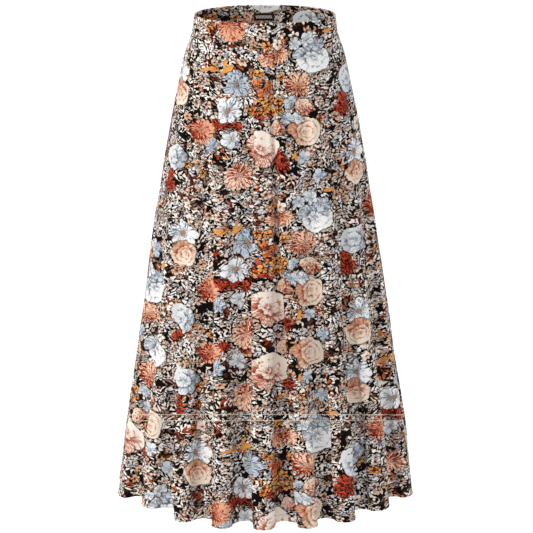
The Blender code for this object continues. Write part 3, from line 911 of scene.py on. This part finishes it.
def waistband_side(phase, way):
    """One side of the waistband, as drops and points. From the seam on its top, a quarter of a circle
    turns down to the side, which then follows the form. Way is 1 outside and -1 on the facing."""
    radius = WAISTBAND_THICK / 2
    turn = np.linspace(EDGE_SEAM, math.pi / 2, EDGE_STEPS)
    drops = np.concatenate([
        radius * (1 - np.cos(turn)),
        np.linspace(radius, WAISTBAND_DEEP, WAISTBAND_ROWS)[1:],
    ])
    aside = np.concatenate([way * radius * np.sin(turn), np.full(WAISTBAND_ROWS - 1, way * radius)])
    phase, drop = np.tile(phase, (len(drops), 1)), np.tile(drops[:, None], (1, len(phase)))
    points = outside(phase, drop)
    along = np.gradient(points, axis=1)
    outward = unit(np.stack([along[..., 1], -along[..., 0], np.zeros_like(phase)], axis=-1))
    stand = aside[:, None] - radius + relief(phase, drop)
    if way > 0:
        stand += seam_dips(phase, drop, phase[0, 0], phase[0, -1])
    return phase, drop, points + stand[..., None] * outward


for name, ends in (("waistband_front", FRONT), ("waistband_back", BACK)):
    columns = columns_between(*ends)
    phase, drop, outer = waistband_side(columns, 1)
    facing = waistband_side(columns, -1)[2]
    on_print = print_place(phase, drop)
    facing_print = on_print * (-1.0, 1.0) + FACING_SHIFT
    on_print = on_print + BACK_CUT * (ends == BACK)
    band = printed_piece(name, outer, facing, on_print, facing_print, (crepe,))


# ---- The hem tier ----------------------------------------------------------------------------------
# A band of the same crepe for the front and one for the back, sewn on below the panels along a
# straight seam that two rows of stitches hold flat. Its hem is turned up twice and stitched.

HEM_FOLD_DEEP = 0.015
HEM_FOLD_THICK = 0.0022
HEM_FOLD_EDGE = 0.0014  # the fold grows to its thickness over this height
HEM_CLOSED = 0.98  # how far round the half circle at the very edge its two faces go
HEM_STITCH_UP = 0.0135  # from the hem up to its row of stitches
TIER_ROWS = 30
FOLD_ROWS = np.array([  # down from the fold's top
    0.0, 0.0007, 0.0014, 0.0030, 0.0055, 0.0080, 0.0105, 0.0125, 0.0139, 0.0143, 0.0147, 0.0150,
])


def tier_grid(first, last):
    """A tier's phases and drops: close rows below the seam, even ones down to the turned-up hem, and
    the hem's own, which are closest at its two edges."""
    phase = columns_between(first, last)
    beside = SEAM_STEP * np.arange(SEAM_STEPS)[:, None]
    top = seam_drop(phase) + SEAM_STEP * SEAM_STEPS
    fold_top = hem_drop(phase) - HEM_FOLD_DEEP
    share = np.linspace(0.0, 1.0, TIER_ROWS + 1)[:-1, None]
    drop = np.concatenate([
        seam_drop(phase) + beside,
        top * (1 - share) + fold_top * share,
        fold_top + FOLD_ROWS[:, None],
    ])
    return np.tile(phase, (len(drop), 1)), drop


def hem_profile(phase, drop):
    """How far the hem's fold stands behind the cloth, and how far its two faces draw together at the
    very edge: one less the height of a half circle, as thick as the fold."""
    above = hem_drop(phase) - drop
    folded = np.clip((HEM_FOLD_DEEP - above) / HEM_FOLD_EDGE, 0.0, 1.0)
    thick = CLOTH_THICK + (HEM_FOLD_THICK - CLOTH_THICK) * folded
    radius = HEM_FOLD_THICK / 2
    past = np.clip(1 - above / radius, 0.0, HEM_CLOSED)
    return thick, radius * (1 - np.sqrt(1 - past**2))


for name, ends in (("tier_front", FRONT), ("tier_back", BACK)):
    phase, drop = tier_grid(*ends)
    face = cloth_face(phase, drop, *ends)
    normals = unit_normals(face)
    thick, rounded = hem_profile(phase, drop)
    stitched = STITCH_DIP * bell(hem_drop(phase) - drop - HEM_STITCH_UP, STITCH_DIP_WIDE)
    wrong_side = face - normals * (thick - rounded)[..., None]
    face = face - normals * (rounded + stitched)[..., None]
    on_print = print_place(phase, drop) + BACK_CUT * (ends == BACK)
    tier = printed_piece(name, face, wrong_side, on_print, on_print, (crepe, crepe_inside))


# ---- The stitching ---------------------------------------------------------------------------------
# Two rows of cream spun-polyester thread hold the tier seam flat, 11 mm apart, in long stitches that
# stand up off the crepe. A finer, dark row holds the hem.

Row = namedtuple("Row", "from_seam from_hem pitch long wide high sunk")
SEAM_ROW = Row(STITCH_OFF, None, 0.0036, 0.0031, 0.0019, 0.0011, 0.0001)
HEM_ROW = Row(None, HEM_STITCH_UP, 0.0030, 0.0022, 0.0007, 0.0006, 0.0001)
BEAD_RINGS = np.array([-0.8, -0.3, 0.3, 0.8])
BEAD_SIDES = 6
THREAD_TWIST = 0.0008  # a thread's plies turn once in this length


def spun_thread(name, light, dark):
    """Spun polyester thread: matt, with two plies whose twist shows as fine slanting bands of painted
    shade.
    """
    material, shader, put = blank_material(name)
    bands = {"Vector": put("TexCoord", out="Object"), "Scale": 0.05 / THREAD_TWIST, "Distortion": 1.0}
    bands = put("TexWave", bands, wave_type="BANDS", bands_direction="DIAGONAL")
    # painted shade: the dark colour stands for the shade in the grooves between the twisted plies
    colour = put("blend", bands, linear(dark), linear(light))
    fill(shader, {"Base Color": colour, "Roughness": 0.7, "Sheen Weight": 0.1})
    return material


def stitch_row(name, path, normals, row, thread):
    """A row of stitches in one mesh. Each is a bead laid along the path: rings whose size is the
    square root of one less the square of their place, from -1 to 1, between a point at each end."""
    steps = np.linalg.norm(np.diff(path, axis=0), axis=1)
    reach = np.concatenate([[0.0], np.cumsum(steps)])
    middles = np.arange(row.pitch, reach[-1] - row.pitch, row.pitch)[:, None]
    rings = np.concatenate([[-1.0], BEAD_RINGS, [1.0]])

    def at(places, values):
        return np.stack([np.interp(places, reach, values[:, k]) for k in range(3)], axis=-1)

    places = middles + rings * row.long / 2
    centre, normal = at(places, path), at(places, normals)
    along = unit(at(middles + row.long / 2, path) - at(middles - row.long / 2, path))
    sideways = np.cross(normal, along)
    size = np.sqrt(1 - rings**2)[None, :, None, None]
    turn = np.linspace(0.0, 2 * math.pi, BEAD_SIDES, endpoint=False)
    across = np.cos(turn)[:, None] * row.wide / 2
    up = np.sin(turn)[:, None] * row.high / 2
    rounds = centre[:, :, None] + size * (across * sideways[:, :, None] + up * normal[:, :, None])
    rounds += (row.high / 2 - row.sunk) * size * normal[:, :, None]

    # In each bead the two end points come first, and then the rings in turn.
    count, bead = len(middles), 2 + len(BEAD_RINGS) * BEAD_SIDES
    ends = rounds[:, [0, -1], 0]
    points = np.concatenate([ends, rounds[:, 1:-1].reshape(count, -1, 3)], axis=1)
    ring = 2 + np.arange(bead - 2).reshape(-1, BEAD_SIDES)
    after = np.roll(ring, -1, axis=1)
    sides = np.stack([ring[:-1], after[:-1], after[1:], ring[1:]], axis=-1).reshape(-1, 4)
    caps = np.concatenate([
        np.stack([np.zeros(BEAD_SIDES, dtype=int), after[0], ring[0]], axis=-1),
        np.stack([np.ones(BEAD_SIDES, dtype=int), ring[-1], after[-1]], axis=-1),
    ])
    first = (np.arange(count) * bead)[:, None, None]
    faces = [*(first + sides).reshape(-1, 4).tolist(), *(first + caps).reshape(-1, 3).tolist()]
    piece = riding_piece(name, points, faces, (thread,))
    return piece


def along_cloth(first, last, drop_of):
    """The cloth's outer face and its normals along a line whose drop is a function of the phase."""
    phase = np.tile(columns_between(first, last), (3, 1))
    face = cloth_face(phase, drop_of(phase) + SEAM_STEP * np.array([[-1], [0], [1]]), first, last)
    return face[1], unit_normals(face)[1]


# each thread's second, darker colour is painted shade between its twisted plies
cream_thread = spun_thread("spun_thread_cream", "#f2eade", "#cbbcab")
dark_thread = spun_thread("spun_thread_dark", "#5a4a42", "#2c221e")

for name, ends in (("tier_front", FRONT), ("tier_back", BACK)):
    for side, way in (("upper", -1), ("lower", 1)):
        path, normals = along_cloth(*ends, lambda phase: seam_drop(phase) + way * STITCH_OFF)
        stitch_row(f"{name}_{side}_stitches", path, normals, SEAM_ROW, cream_thread)
    path, normals = along_cloth(*ends, lambda phase: hem_drop(phase) - HEM_STITCH_UP)
    path = path - normals * STITCH_DIP
    stitch_row(f"{name}_hem_stitches", path, normals, HEM_ROW, dark_thread)
    tier = bpy.data.objects[name + "_cloth"]


# ---- The woven label -------------------------------------------------------------------------------
# A small label in black polyester satin, woven with a pale frame and a plain band of slanting bars.
# Its ends are turned under, and it is stitched to the middle of the back waistband's facing.

LABEL_WIDE = 0.040
LABEL_DEEP = 0.014
LABEL_THICK = 0.0008
LABEL_TOP_DROP = 0.0156
LABEL_CROWN = 0.0003  # how far its middle bulges
LABEL_HALF = 500 * LABEL_WIDE, 500 * LABEL_DEEP  # in millimetres
LABEL_ROWS = 10
LABEL_COLUMNS = 30
FACING_GAP = 0.0003  # between the label and the facing
FRAME_IN = 0.9  # from the label's edge to its woven frame, in millimetres
FRAME_LINE = 0.35
BARS_HALF_WIDE = 15.5
BARS_HALF_DEEP = 2.8
BAR_PITCH = 2.9
BAR_SLANT = 0.45
RIB_PITCH = 0.6  # woven ribs are finer than this, and are drawn coarser to show


def label_satin():
    """Damask label satin, woven in polyester: glossy black warp, with pale weft brought up for the
    pattern, and ribs that run down the label and catch the light."""
    material, shader, put = blank_material("woven_label_satin")
    x, y, _ = put("SeparateXYZ", put("UVMap", uv_map="label")).node.outputs

    def inside_box(half_wide, half_deep):
        """One inside a box about the label's middle, and nought outside it."""
        beside = put("-", put("absolute", x), half_wide)
        above = put("-", put("absolute", y), half_deep)
        return put("MapRange", put("maximum", beside, above), 0.0, 0.12, 1.0, 0.0)

    half_wide, half_deep = (half - FRAME_IN for half in LABEL_HALF)
    within = inside_box(half_wide - FRAME_LINE, half_deep - FRAME_LINE)
    frame_line = put("-", inside_box(half_wide, half_deep), within, use_clamp=True)
    bar = put("pingpong", put("*+", y, BAR_SLANT, x), BAR_PITCH / 2)
    bar = put("MapRange", bar, 0.55, 0.67, 1.0, 0.0)
    bars = put("*", bar, inside_box(BARS_HALF_WIDE, BARS_HALF_DEEP))
    pale = put("maximum", put("*", frame_line, 0.08), bars)
    colour = put("blend", pale, linear("#070505"), linear("#f6efe9"))
    rib = put("sine", put("*", x, 2 * math.pi / RIB_PITCH))
    bump = put("Bump", {"Strength": 0.4, "Distance": 0.0001, "Height": rib})
    fill(shader, {"Base Color": colour, "Normal": bump, "Roughness": 0.42, "Specular IOR Level": 0.4})
    return material


def label_grid():
    """The label's place on the facing, from its lower edge up: phases, drops, and shares and
    millimetres from its middle."""
    centre_phase = (RIGHT_SEAM_PHASE + LEFT_SEAM_PHASE) / 2
    step = 1e-4
    middle = np.full(2, LABEL_TOP_DROP + LABEL_DEEP / 2)
    here, further = outside(centre_phase + np.array([0.0, step]), middle)
    half = LABEL_WIDE / 2 * step / np.linalg.norm(further - here)
    across, up = np.meshgrid(*(np.linspace(-1.0, 1.0, n + 1) for n in (LABEL_COLUMNS, LABEL_ROWS)))
    drop = LABEL_TOP_DROP + LABEL_DEEP * (1 - up) / 2
    on_label = np.stack([-across, up], axis=-1) * LABEL_HALF
    return centre_phase + half * across, drop, across, up, on_label


phase, drop, across, up, on_label = label_grid()
form = outside(phase, drop)
to_inside = unit_normals(form)
under = form + to_inside * (WAISTBAND_THICK + FACING_GAP)
crown = LABEL_CROWN * (1 - across**4) * (1 - up**4)
top = under + to_inside * (LABEL_THICK - LABEL_CROWN + crown)[..., None]
label = cloth_shell("woven_label_cloth", top, under, on_label, on_label, (label_satin(),))
label.data.uv_layers["cloth"].name = "label"
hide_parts("woven_label")

LABEL_ROW = Row(None, None, 0.0024, 0.0018, 0.0006, 0.0005, 0.0001)
# the second, darker colour is painted shade between the twisted plies
black_thread = spun_thread("spun_thread_black", "#2b2526", "#0d0a0b")
for side, column in (("left", 2), ("right", -3)):
    name = f"woven_label_{side}_stitches"
    stitch_row(name, top[:, column], to_inside[:, column], LABEL_ROW, black_thread)
